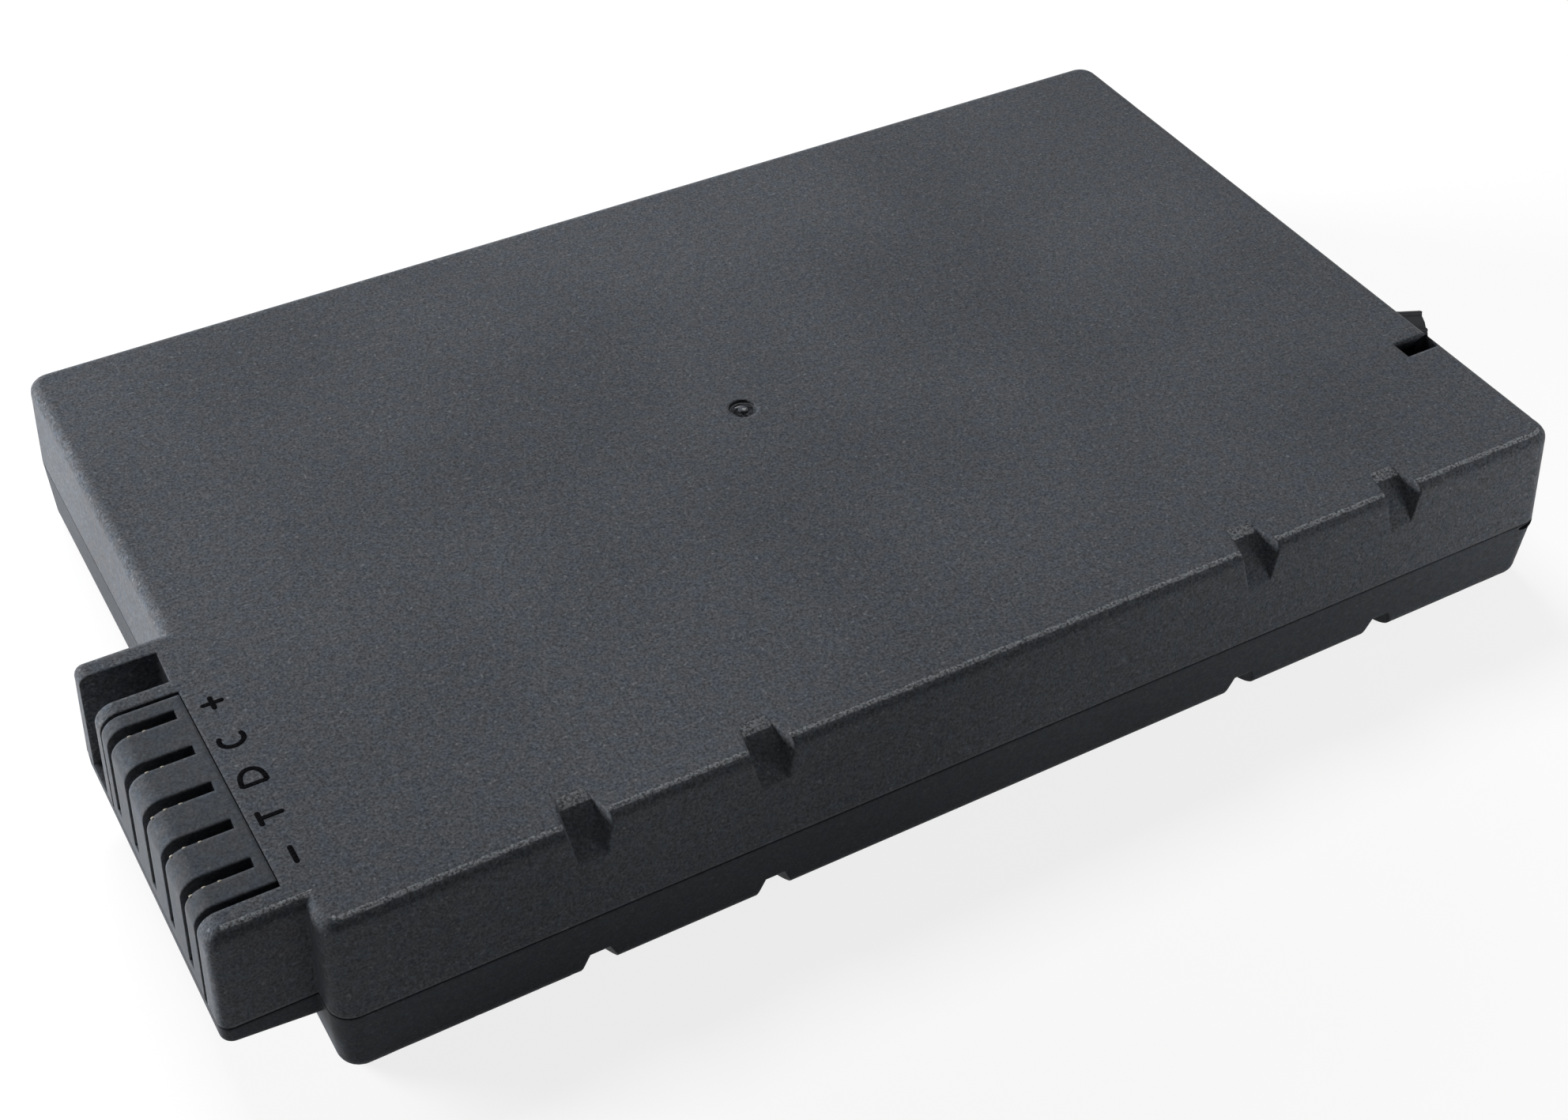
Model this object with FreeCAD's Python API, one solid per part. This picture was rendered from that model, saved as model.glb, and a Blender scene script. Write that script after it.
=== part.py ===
import FreeCAD, Part
import math
import os

# A slab battery for a portable computer: nine round cells in a two-part moulded case.
# Seven cells lie side by side across the case and two lie in line along its near side.
# Millimetres. +X runs from the connector block to the pull tab, +Y from the near side
# to the far side, +Z up. The origin is the centre of the body's underside.

Vector = FreeCAD.Vector
X_AXIS = Vector(1, 0, 0)
Y_AXIS = Vector(0, 1, 0)
Z_AXIS = Vector(0, 0, 1)

# Cells
cell_diameter = 18.3
cell_length = 65.1
cell_spacing = 0.1
row_cell_count = 7
line_gap = 0.3
cell_rim_drop = 0.5
cell_button_radius = 3.6
cell_crimp_width = 1.6
cell_edge = 0.6
cell_groove_depth = 0.5
cell_groove_width = 1.2
cell_groove_below_rim = 2.6
ring_thickness = 0.2
ring_clearance = 0.05

# Room round the cells
nest_skin = 0.65
nest_clearance = 0.1
near_gap = 0.7
inner_gap = 0.6
far_gap = 1.3
end_gap = 0.6
board_bay = 7.7
line_start_room = 2.5
line_end_room = 4.0

# Case
side_wall = 1.5
cover_floor = 1.3
parting_height = 8.5
parting_gap = 0.12
end_draft = math.radians(1.9)
upper_draft = math.radians(6.0)
upper_far_draft = math.radians(8.2)
lower_draft = math.radians(3.4)
corner_radius = 2.3
top_edge_radius = 1.2
bottom_edge_radius = 1.7
cavity_edge_radius = 5.0
lip_height = 1.2
lip_clearance = 0.1
lip_root = 0.5
pry_depth = 0.75
pry_height = 0.9
pry_length = 5.0

# Notches along the near edges
notch_centre = 2.1
notch_inner_reach = 28.1
notch_outer_reach = 46.7
top_notch_width = 3.2
top_notch_wall = 2.75
top_notch_taper = math.radians(20.0)
bottom_notch_width = 2.5
bottom_notch_wall = 3.75
bottom_notch_taper = math.radians(33.0)
notch_sink = 2.0
notch_depth = 4.0
notch_span = 6.0
notch_lip_run = 0.7

# Gate mark on the top
gate_x = -4.5
gate_y = 1.3
gate_radius = 1.5
gate_depth = 0.25
gate_stub_radius = 0.5

# Connector block
block_setback = 4.2
block_reach = 8.9
block_side_draft = math.radians(3.5)
block_end_draft = math.radians(3.0)
block_end_radius = 2.0
far_end_radius = 1.0
block_side_radius = 1.2
far_side_radius = 0.9
block_floor = 2.25
block_floor_draft = math.radians(5.8)
block_floor_radius = 0.8
block_root = 4.0
near_cheek = 3.35
key_rib = 1.6
key_width = 4.3
far_cheek = 3.05
key_end_wall = 0.85

# Terminal block and contacts
near_slit = 0.7
far_slit = 0.4
insert_seam = 0.1
insert_setback = 0.8
insert_back_wall = 1.05
spigot_margin = 1.0
spigot_clearance = 0.1
blade_pitch = 5.02
blade_slot_width = 1.2
blade_near_margin = 3.0
blade_far_margin = 2.3
blade_slot_floor = 1.5
chamber_width = 2.5
chamber_roof = 2.5
chamber_mouth_wall = 1.6
contact_thickness = 0.3
contact_clearance = 0.1
contact_pinch = 0.5
contact_flare = 0.4
contact_nose = 1.4
contact_shoulder = 1.2
contact_bend_radius = 0.35
contact_headroom = 0.6
tail_width = 0.6
tail_height = 1.2
tail_clearance = 0.05
tail_show = 0.25
window_above_parting = 2.0
window_below_top = 4.3

# Latch slot and pull tab
latch_width = 2.55
latch_length = 5.5
latch_end_wall = 0.7
latch_depth = 5.5
latch_overlap = 0.2
tab_width = 5.0
tab_thickness = 1.0
tab_drop = 2.3
tab_from_latch = 5.1
tab_skew = math.radians(30.5)
tab_straight = 0.8
tab_reach = 3.3
tab_droop = math.radians(8.0)
tab_bend_radius = 3.0
tab_clearance = 0.2
tab_root = 3.6
stop_thickness = 1.4
stop_height = 2.4
stop_overhang = 1.0
stop_gap = 0.1

# Board and what is on it: length, width and height of each part
board_standoff = 0.5
board_thickness = 0.8
board_top_gap = 1.0
board_near_room = 3.0
board_far_room = 7.0
switch_size = (5.0, 4.0, 1.5)
gauge_size = (10.0, 5.3, 1.8)
protector_size = (5.0, 4.4, 1.2)
resistor_size = (6.4, 3.2, 0.6)
fuse_size = (4.5, 3.2, 0.9)
capacitor_size = (1.6, 0.8, 0.8)
capacitor_count = 6
capacitor_pitch = 7.0
switch_pins = 4
gauge_pins = 8
protector_pins = 4
part_row_height = 8.5
part_low_row_height = 4.0
pin_width = 0.4
pin_length = 0.9
pin_height = 0.2
paper_thickness = 0.15
paper_gap = 0.45
paper_margin = 2.0

# Strips and leads
strip_thickness = 0.15
strip_width = 7.0
strip_clearance = 0.05
strip_overrun = 4.0
strip_bend_radius = 0.5
strip_step = 1.0
return_width = 4.0
return_clearance = 0.1
ear_width = 3.0
ear_height = 3.4
cutoff_offset = 1.5
cutoff_length = 6.0
cutoff_width = 4.0
cutoff_thickness = 1.2
cutoff_drop = 10.0
cutoff_overlap = 2.0
cutoff_lead_width = 2.5
cutoff_lead_length = 3.0
lead_radius = 0.6
sense_radius = 0.3
sense_turn = 2.0
sense_landing = 1.5
thermistor_radius = 1.1
thermistor_lead_radius = 0.2
thermistor_lead_pitch = 1.0
thermistor_clearance = 0.1
thermistor_along = 24.4

# Places that follow from the sizes
cell_radius = cell_diameter / 2
cell_pitch = cell_diameter + cell_spacing
nest_radius = cell_radius + nest_clearance
row_length = row_cell_count * cell_diameter + (row_cell_count - 1) * cell_spacing
line_length = 2 * cell_length + line_gap
room_for_row = board_bay + row_length + end_gap
room_for_line = line_start_room + line_length + line_end_room
body_length = 2 * side_wall + max(room_for_row, room_for_line)
body_width = 2 * side_wall + near_gap + cell_diameter + inner_gap + cell_length + far_gap
body_height = cell_diameter + 2 * (nest_skin + nest_clearance)
x_plug = -body_length / 2
x_tab = body_length / 2
y_near = -body_width / 2
y_far = body_width / 2
axis_height = body_height / 2

row_last_x = x_tab - side_wall - end_gap - cell_radius
row_x = [row_last_x - (row_cell_count - 1 - i) * cell_pitch for i in range(row_cell_count)]
line_axis_y = y_near + side_wall + near_gap + cell_radius
row_inner_y = line_axis_y + cell_radius + inner_gap
row_far_y = row_inner_y + cell_length
line_end_x = x_tab - side_wall - line_end_room
line_start_x = line_end_x - line_length
line_middle_x = line_start_x + line_length / 2

# The row's cells by group: the first group, the reversed cell that bridges, the last group
first_group_end = row_cell_count // 2 - 1
bridge_cell = row_cell_count // 2
last_group_start = row_cell_count // 2 + 1

contact_names = ["negative", "thermistor", "data", "clock", "positive"]
blade_span = (len(contact_names) - 1) * blade_pitch
block_near_y = y_near + block_setback
insert_near_y = block_near_y + near_cheek + near_slit
insert_far_y = insert_near_y + blade_near_margin + blade_span + blade_far_margin
key_near_y = insert_far_y + far_slit + key_rib
key_far_y = key_near_y + key_width
block_far_y = key_far_y + far_cheek
block_end_x = x_plug - block_reach
block_foot_z = parting_height - block_floor
insert_back_x = x_plug - insert_setback
blade_slot_x = insert_back_x - insert_back_wall
blade_floor_z = parting_height + blade_slot_floor
chamber_end_x = block_end_x + chamber_mouth_wall
chamber_top = body_height - chamber_roof
window_bottom = parting_height + window_above_parting
window_top = body_height - window_below_top
tail_z = (window_bottom + window_top) / 2

board_back_x = x_plug + side_wall + board_standoff
board_face = board_back_x + board_thickness
board_near_y = block_near_y + board_near_room
board_far_y = y_far - side_wall - board_far_room
board_bottom = cover_floor + nest_clearance
board_top = body_height - cover_floor - board_top_gap

strip_bottom = axis_height - strip_width / 2
strip_top = axis_height + strip_width / 2
far_strip_y = row_far_y + strip_clearance + strip_thickness / 2
inner_strip_y = row_inner_y - strip_clearance - strip_thickness / 2
positive_tail_x = row_x[0] - cell_radius - cutoff_offset
positive_tail_y = far_strip_y - cutoff_drop
line_end_strip_x = line_end_x + strip_clearance + strip_thickness / 2
line_start_strip_x = line_start_x - strip_clearance - strip_thickness / 2
thermistor_y = row_inner_y + thermistor_along
latch_far_y = row_inner_y + latch_overlap
tab_y = latch_far_y + tab_from_latch
tab_z = body_height - tab_drop - tab_thickness / 2
tab_half_y = tab_width / 2 / math.cos(tab_skew)
stop_face_x = x_tab - side_wall - (body_height - parting_height) * math.tan(end_draft) - stop_gap
clear_cut = 1.0


# Shapes used by several pieces

def box(x0, x1, y0, y1, z0, z1):
    """A box between two corners."""
    return Part.makeBox(x1 - x0, y1 - y0, z1 - z0, Vector(x0, y0, z0))


def rectangle(x0, x1, y0, y1, z):
    """A closed level rectangle."""
    corners = [Vector(x0, y0, z), Vector(x1, y0, z), Vector(x1, y1, z), Vector(x0, y1, z)]
    return Part.makePolygon(corners + corners[:1])


def at_height(edge, z):
    """True where both ends of an edge lie at one height."""
    return all(abs(vertex.Z - z) < 1e-6 for vertex in edge.Vertexes)


def rising(edge):
    """True where an edge climbs from one height to another."""
    return abs(edge.Vertexes[0].Z - edge.Vertexes[-1].Z) > 1e-3


def offset_side(points, bend_radius, offset):
    """The edges of one side of a bent strip, at an offset to the left of its centre line."""
    runs = [(b - a).normalize() for a, b in zip(points, points[1:])]
    lefts = [Vector(-run.y, run.x, 0) for run in runs]
    edges = []
    cursor = points[0] + lefts[0] * offset
    for corner, run_in, run_out, left_in, left_out in zip(points[1:], runs, runs[1:], lefts, lefts[1:]):
        side = math.copysign(1, run_in.cross(run_out).z)
        tangent = bend_radius * math.tan(run_in.getAngle(run_out) / 2)
        centre = corner - run_in * tangent + left_in * (bend_radius * side)
        start = corner - run_in * tangent + left_in * offset
        end = corner + run_out * tangent + left_out * offset
        middle = centre + (corner - centre).normalize() * (bend_radius - side * offset)
        edges.append(Part.LineSegment(cursor, start).toShape())
        edges.append(Part.Arc(start, middle, end).toShape())
        cursor = end
    last = points[-1] + lefts[-1] * offset
    edges.append(Part.LineSegment(cursor, last).toShape())
    return edges, points[0] + lefts[0] * offset, last


def bent_strip(plan, bend_radius, thickness, z0, z1):
    """A strip of sheet on edge, bent along a plan of (x, y) points with round bends."""
    points = [Vector(x, y, z0) for x, y in plan]
    left, left_start, left_end = offset_side(points, bend_radius, thickness / 2)
    right, right_start, right_end = offset_side(points, bend_radius, -thickness / 2)
    caps = [
        Part.LineSegment(left_start, right_start).toShape(),
        Part.LineSegment(left_end, right_end).toShape(),
    ]
    outline = Part.Wire(Part.__sortEdges__(left + right + caps))
    return Part.Face(outline).extrude(Vector(0, 0, z1 - z0))


def tube(points, radius):
    """A round lead along straight runs, with a ball at each turn."""
    solid = None
    for start, end in zip(points, points[1:]):
        run = end - start
        piece = Part.makeCylinder(radius, run.Length, start, run)
        solid = piece if solid is None else solid.fuse(piece)
    for turn in points[1:-1]:
        solid = solid.fuse(Part.makeSphere(radius, turn))
    return solid.removeSplitter()


# The case

def body_form(z_wide, z_end, near_draft, far_draft, inset):
    """The body's outline, drawn in by an inset, leaning in from the parting plane to z_end."""
    rise = abs(z_end - z_wide)
    lean_x = inset + rise * math.tan(end_draft)
    lean_near = inset + rise * math.tan(near_draft)
    lean_far = inset + rise * math.tan(far_draft)
    wide = rectangle(x_plug + inset, x_tab - inset, y_near + inset, y_far - inset, z_wide)
    narrow = rectangle(x_plug + lean_x, x_tab - lean_x, y_near + lean_near, y_far - lean_far, z_end)
    sections = [wide, narrow] if z_end > z_wide else [narrow, wide]
    return Part.makeLoft(sections, True, True)


def rounded_form(z_wide, z_end, near_draft, far_draft, edge_radius):
    """The body's outside, with round corners and a round edge at z_end."""
    form = body_form(z_wide, z_end, near_draft, far_draft, 0)
    form = form.makeFillet(corner_radius, [edge for edge in form.Edges if rising(edge)])
    return form.makeFillet(edge_radius, [edge for edge in form.Edges if at_height(edge, z_end)])


def cavity_form(z_wide, z_end, near_draft, far_draft):
    """The room inside one cover, with a round edge beside the lengthwise cells."""
    form = body_form(z_wide, z_end, near_draft, far_draft, side_wall)
    near_edge = [e for e in form.Edges if at_height(e, z_end) and e.BoundBox.YMax < 0]
    return form.makeFillet(cavity_edge_radius, near_edge)


def cell_nests():
    """The round hollows that the cells lie in."""
    row_start = row_inner_y - nest_clearance
    row_run = cell_length + 2 * nest_clearance
    line_start = Vector(line_start_x - nest_clearance, line_axis_y, axis_height)
    nests = []
    for x in row_x:
        nests.append(Part.makeCylinder(nest_radius, row_run, Vector(x, row_start, axis_height), Y_AXIS))
    nests.append(Part.makeCylinder(nest_radius, line_length + 2 * nest_clearance, line_start, X_AXIS))
    return nests


def edge_notches(side, width, wall, taper):
    """Tapered cuts across a near edge, top (1) or bottom (-1), with floors round the cell axis."""
    floor_radius = nest_radius + wall
    outward = Vector(0, -1, side).normalize()
    along = Vector(0, 1, side).normalize()
    core_half = width + notch_depth
    cuts = []
    for reach in (-notch_outer_reach, -notch_inner_reach, notch_inner_reach, notch_outer_reach):
        centre = Vector(notch_centre + reach, line_axis_y, axis_height)
        corners = []
        for rise, turn in ((-notch_sink, -1), (-notch_sink, 1), (notch_depth, 1), (notch_depth, -1)):
            half = width / 2 + rise * math.tan(taper)
            corner = centre + outward * (floor_radius + rise) + X_AXIS * (turn * half)
            corners.append(corner - along * notch_span)
        wedge = Part.Face(Part.makePolygon(corners + corners[:1])).extrude(along * (2 * notch_span))
        core = Part.makeCylinder(floor_radius, 2 * core_half, centre - X_AXIS * core_half, X_AXIS)
        if side > 0:
            core = core.cut(notch_lip(floor_radius, centre.x, core_half))
        cuts.append(wedge.cut(core))
    return cuts


def notch_lip(floor_radius, x, half):
    """The wedge that eases a notch's floor into the top, at half of the angle between them."""
    rise = body_height - axis_height
    slope = math.acos(rise / floor_radius) / 2
    start_y = line_axis_y - floor_radius * math.sin(2 * slope) + notch_lip_run
    profile = [
        Vector(x - half, start_y, body_height),
        Vector(x - half, start_y - notch_span, body_height - notch_span * math.tan(slope)),
        Vector(x - half, start_y - notch_span, body_height + notch_depth),
        Vector(x - half, start_y, body_height + notch_depth),
    ]
    return Part.Face(Part.makePolygon(profile + profile[:1])).extrude(X_AXIS * (2 * half))


def lip_box(inset, z0, z1):
    """A straight box inside the body's outline, with corners that follow the body's."""
    solid = box(x_plug + inset, x_tab - inset, y_near + inset, y_far - inset, z0, z1)
    return solid.makeFillet(corner_radius - inset, [edge for edge in solid.Edges if rising(edge)])


def block_form(end_radius, side_radius):
    """The upper connector block before it is cut: leaning sides and round outer edges."""
    rise = body_height - parting_height
    lean_end = rise * math.tan(block_end_draft)
    lean_side = rise * math.tan(block_side_draft)
    root_x = x_plug + block_root
    foot = rectangle(block_end_x, root_x, block_near_y, block_far_y, parting_height)
    head = rectangle(
        block_end_x + lean_end,
        root_x,
        block_near_y + lean_side,
        block_far_y - lean_side,
        body_height,
    )
    form = Part.makeLoft([foot, head], True, True)
    front = [e for e in form.Edges if at_height(e, body_height) and e.BoundBox.XMax < x_plug]
    form = form.makeFillet(end_radius, front)
    side_edges = []
    for edge in form.Edges:
        on_foot = at_height(edge, parting_height)
        on_root = edge.BoundBox.XMin > root_x - clear_cut
        across = edge.BoundBox.YLength > (block_far_y - block_near_y) / 2
        if not (on_foot or on_root or across):
            side_edges.append(edge)
    return form.makeFillet(side_radius, side_edges)


def spigot_box(clearance):
    """The back of the terminal block, where it goes through the end wall to the board."""
    return box(
        insert_back_x - clear_cut,
        board_back_x - spigot_clearance + clearance,
        insert_near_y + spigot_margin - clearance,
        insert_far_y - spigot_margin + clearance,
        window_bottom - clearance,
        window_top + clearance,
    )


def top_cover():
    """The upper shell with its block, key notch, edge notches, gate mark and tab slot."""
    above = body_height + clear_cut
    below = parting_height - clear_cut
    beyond = block_end_x - clear_cut
    cover = rounded_form(parting_height, body_height, upper_draft, upper_far_draft, top_edge_radius)
    key_middle_y = (key_near_y + key_far_y) / 2
    far_side = box(beyond, 0, key_middle_y, block_far_y + clear_cut, below, above)
    block = block_form(block_end_radius, block_side_radius).cut(far_side)
    block = block.fuse(block_form(far_end_radius, far_side_radius).common(far_side))
    cover = cover.fuse(block).removeSplitter()
    insert_bay = box(
        beyond,
        insert_back_x + insert_seam,
        insert_near_y - near_slit,
        insert_far_y + far_slit,
        below,
        above,
    )
    key_notch = box(beyond, x_plug - key_end_wall, key_near_y, key_far_y, below, above)
    latch_slot = box(
        x_tab - latch_length,
        x_tab - latch_end_wall,
        latch_far_y - latch_width,
        latch_far_y,
        body_height - latch_depth,
        above,
    )
    tab_slit = box(
        stop_face_x,
        x_tab + clear_cut,
        tab_y - tab_half_y - tab_clearance,
        tab_y + tab_half_y + (x_tab - stop_face_x) * math.tan(tab_skew) + tab_clearance,
        tab_z - tab_thickness / 2 - tab_clearance,
        tab_z + tab_thickness / 2 + tab_clearance,
    )
    gate_foot = Vector(gate_x, gate_y, body_height - gate_depth)
    gate = Part.makeCylinder(gate_radius, above, gate_foot)
    gate = gate.cut(Part.makeCylinder(gate_stub_radius, gate_depth, gate_foot))
    notches = edge_notches(1, top_notch_width, top_notch_wall, top_notch_taper)
    cuts = [
        cavity_form(parting_height, body_height - cover_floor, upper_draft, upper_far_draft),
        lip_box(side_wall / 2, below, parting_height + lip_height + lip_clearance),
        spigot_box(spigot_clearance),
        insert_bay,
        key_notch,
        latch_slot,
        tab_slit,
        gate,
    ]
    return cover.cut(cuts + cell_nests() + notches).removeSplitter()


def block_plate(rim):
    """The floor under the connector block, thicker towards the body."""
    root_x = x_plug + side_wall
    root_z = block_foot_z - (root_x - block_end_x) * math.tan(block_floor_draft)
    profile = [
        Vector(block_end_x, block_near_y, rim),
        Vector(root_x, block_near_y, rim),
        Vector(root_x, block_near_y, root_z),
        Vector(block_end_x, block_near_y, block_foot_z),
    ]
    plate = Part.Face(Part.makePolygon(profile + profile[:1])).extrude(Y_AXIS * (block_far_y - block_near_y))
    outer = [e for e in plate.Edges if rising(e) and e.BoundBox.XMax < block_end_x + clear_cut]
    plate = plate.makeFillet(block_side_radius, outer)
    under = [e for e in plate.Edges if e.BoundBox.ZMax < rim - clear_cut and e.BoundBox.XMin < x_plug]
    return plate.makeFillet(block_floor_radius, under)


def bottom_cover():
    """The lower shell with the floor of the block, its notches and the lip that aligns the two."""
    rim = parting_height - parting_gap
    cover = rounded_form(rim, 0, lower_draft, lower_draft, bottom_edge_radius)
    cover = cover.fuse(block_plate(rim)).removeSplitter()
    pry_notch = box(
        x_tab - pry_depth,
        x_tab + clear_cut,
        y_near - clear_cut,
        y_near + pry_length,
        rim - pry_height,
        rim + clear_cut,
    )
    notches = edge_notches(-1, bottom_notch_width, bottom_notch_wall, bottom_notch_taper)
    cavity = cavity_form(rim, cover_floor, lower_draft, lower_draft)
    cover = cover.cut([cavity, pry_notch] + cell_nests() + notches)
    lip_top = parting_height + lip_height
    lip = lip_box(side_wall / 2 + lip_clearance, rim - lip_root, lip_top)
    lip_room = box(
        x_plug + side_wall,
        x_tab - side_wall,
        y_near + side_wall,
        y_far - side_wall,
        rim - clear_cut,
        lip_top + clear_cut,
    )
    return cover.fuse(lip.cut(lip_room)).removeSplitter()


# The connector

def blade_places():
    """The middle of each blade slot, from the near side to the far side."""
    return [insert_near_y + blade_near_margin + i * blade_pitch for i in range(len(contact_names))]


def tail(y, clearance):
    """A contact's tail, from its base through the end wall and the board."""
    half_width = tail_width / 2 + clearance
    half_height = tail_height / 2 + clearance
    base_x = blade_slot_x - contact_clearance - contact_thickness / 2
    end_x = board_face + tail_show
    return box(base_x, end_x, y - half_width, y + half_width, tail_z - half_height, tail_z + half_height)


def terminal_block():
    """The insert: flush with the block outside, slotted for blades and hollow for contacts."""
    beyond = block_end_x - clear_cut
    above = body_height + clear_cut
    room = box(beyond, insert_back_x, insert_near_y, insert_far_y, parting_height, above)
    insert = block_form(block_end_radius, block_side_radius).common(room)
    insert = insert.fuse(spigot_box(0)).removeSplitter()
    cuts = []
    for y in blade_places():
        slot_near = y - blade_slot_width / 2
        slot = box(beyond, blade_slot_x, slot_near, slot_near + blade_slot_width, blade_floor_z, above)
        chamber = box(
            chamber_end_x,
            blade_slot_x,
            y - chamber_width / 2,
            y + chamber_width / 2,
            parting_height,
            chamber_top,
        )
        cuts += [slot, chamber, tail(y, tail_clearance)]
    return insert.cut(cuts).removeSplitter()


def contact(y):
    """A forked spring contact: two leaves that pinch a blade, one base and a tail."""
    open_half = chamber_width / 2 - contact_clearance - contact_thickness / 2
    pinch_half = (contact_pinch + contact_thickness) / 2
    base_x = blade_slot_x - contact_clearance - contact_thickness / 2
    tip_x = chamber_end_x + contact_clearance
    leaf = [
        (tip_x, pinch_half + contact_flare),
        (tip_x + contact_nose, pinch_half),
        (base_x - contact_shoulder, open_half),
        (base_x, open_half),
    ]
    plan = [(x, y + half) for x, half in leaf] + [(x, y - half) for x, half in reversed(leaf)]
    bottom = blade_floor_z + contact_clearance
    top = chamber_top - contact_headroom
    fork = bent_strip(plan, contact_bend_radius, contact_thickness, bottom, top)
    return fork.fuse(tail(y, 0)).removeSplitter()


# The cells and what joins them

def cell_profile():
    """Half of a cell's section, from its flat end at 0 to its button at cell_length."""
    rim = cell_length - cell_rim_drop
    groove = rim - cell_groove_below_rim
    waist = cell_radius - cell_groove_depth
    inner = cell_radius - cell_crimp_width
    outline = [
        (0, 0),
        (cell_radius - cell_edge, 0),
        (cell_radius, cell_edge),
        (cell_radius, groove - cell_groove_width / 2),
        (waist, groove),
        (cell_radius, groove + cell_groove_width / 2),
        (cell_radius, rim - cell_edge),
        (cell_radius - cell_edge, rim),
        (inner, rim),
        (inner, rim - cell_rim_drop),
        (cell_button_radius, rim - cell_rim_drop),
        (cell_button_radius, cell_length),
        (0, cell_length),
    ]
    corners = [Vector(radius, 0, z) for radius, z in outline]
    return Part.Face(Part.makePolygon(corners + corners[:1]))


def cell_places():
    """Each cell's flat end and the way to its button: the row first, then the line."""
    places = []
    for i, x in enumerate(row_x):
        if i == bridge_cell:
            places.append((Vector(x, row_far_y, axis_height), -Y_AXIS))
        else:
            places.append((Vector(x, row_inner_y, axis_height), Y_AXIS))
    places.append((Vector(line_start_x, line_axis_y, axis_height), X_AXIS))
    places.append((Vector(line_end_x, line_axis_y, axis_height), -X_AXIS))
    return places


def placed(shape, foot, way):
    """A copy of a shape made along +Z, moved to a foot point and turned to a way."""
    copy = shape.copy()
    copy.Placement = FreeCAD.Placement(foot, FreeCAD.Rotation(Z_AXIS, way))
    return copy


def insulator_rings():
    """Paper rings on the rims round the cells' buttons."""
    foot = Vector(0, 0, cell_length - cell_rim_drop + ring_clearance)
    ring = Part.makeCylinder(cell_radius - cell_edge, ring_thickness, foot)
    ring = ring.cut(Part.makeCylinder(cell_button_radius + ring_clearance, ring_thickness, foot))
    return Part.makeCompound([placed(ring, *place) for place in cell_places()])


def pack_positive_strip():
    """Joins the far ends of the first group of cells and turns down the bay to the cut-off."""
    plan = [
        (row_x[first_group_end] + strip_overrun, far_strip_y),
        (positive_tail_x, far_strip_y),
        (positive_tail_x, positive_tail_y),
    ]
    return bent_strip(plan, strip_bend_radius, strip_thickness, strip_bottom, strip_top)


def upper_midpoint_strip():
    """Joins the inner ends of the first group and the bridge, with a tongue to the cells in line."""
    main = [(row_x[0] - strip_overrun, inner_strip_y), (row_x[bridge_cell] + strip_overrun, inner_strip_y)]
    tongue = [(line_middle_x, inner_strip_y), (line_middle_x, line_axis_y - strip_overrun)]
    strip = bent_strip(main, strip_bend_radius, strip_thickness, strip_bottom, strip_top)
    branch = bent_strip(tongue, strip_bend_radius, strip_thickness, strip_bottom, strip_top)
    return strip.fuse(branch).removeSplitter()


def lower_midpoint_strip():
    """Joins the far ends of the bridge and the last group and runs round the end to the line."""
    wall_x = x_tab - side_wall - end_gap / 2
    step_y = row_inner_y - strip_step
    plan = [
        (row_x[bridge_cell] - strip_overrun, far_strip_y),
        (wall_x, far_strip_y),
        (wall_x, step_y),
        (line_end_strip_x, step_y),
        (line_end_strip_x, line_axis_y - strip_overrun),
    ]
    return bent_strip(plan, strip_bend_radius, strip_thickness, strip_bottom, strip_top)


def cell_return_strip():
    """Joins the outer ends of the two cells in line along the near wall."""
    end_x = line_end_strip_x + strip_thickness + strip_clearance
    wall_y = line_axis_y - cell_radius - return_clearance - strip_thickness / 2
    plan = [
        (end_x, line_axis_y + strip_overrun),
        (end_x, wall_y),
        (line_start_strip_x, wall_y),
        (line_start_strip_x, line_axis_y + strip_overrun),
    ]
    low = axis_height - return_width / 2
    return bent_strip(plan, strip_bend_radius, strip_thickness, low, low + return_width)


def pack_negative_strip():
    """Joins the inner ends of the last group of cells, with an ear for the negative lead."""
    start_x = row_x[last_group_start] - strip_overrun
    plan = [(start_x, inner_strip_y), (row_last_x + strip_overrun, inner_strip_y)]
    strip = bent_strip(plan, strip_bend_radius, strip_thickness, strip_bottom, strip_top)
    half = strip_thickness / 2
    ear_top = strip_top + ear_height
    ear = box(start_x, start_x + ear_width, inner_strip_y - half, inner_strip_y + half, axis_height, ear_top)
    return strip.fuse(ear).removeSplitter()


# The board and its leads

def protection_board():
    """The board on edge behind the end wall, pierced for the contact tails."""
    board = box(board_back_x, board_face, board_near_y, board_far_y, board_bottom, board_top)
    return board.cut([tail(y, tail_clearance) for y in blade_places()])


def on_board(shape, y, z):
    """Stands a part, made flat at the origin, on the board's face."""
    shape.rotate(Vector(0, 0, 0), Vector(1, 1, 1), 120)
    shape.translate(Vector(board_face, y, z))
    return shape


def block_part(size):
    """A plain chip part, made flat at the origin."""
    length, width, height = size
    return box(-length / 2, length / 2, -width / 2, width / 2, 0, height)


def pinned_part(size, pins):
    """A chip with a row of flat pins along each long side, made flat at the origin."""
    length, width, height = size
    part = box(-length / 2, length / 2, -width / 2, width / 2, pin_height / 2, height)
    pitch = length / pins
    reach = width / 2 + pin_length
    for i in range(pins):
        x = (i - (pins - 1) / 2) * pitch
        part = part.fuse(box(x - pin_width / 2, x + pin_width / 2, -reach, reach, 0, pin_height))
    return part.removeSplitter()


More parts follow.
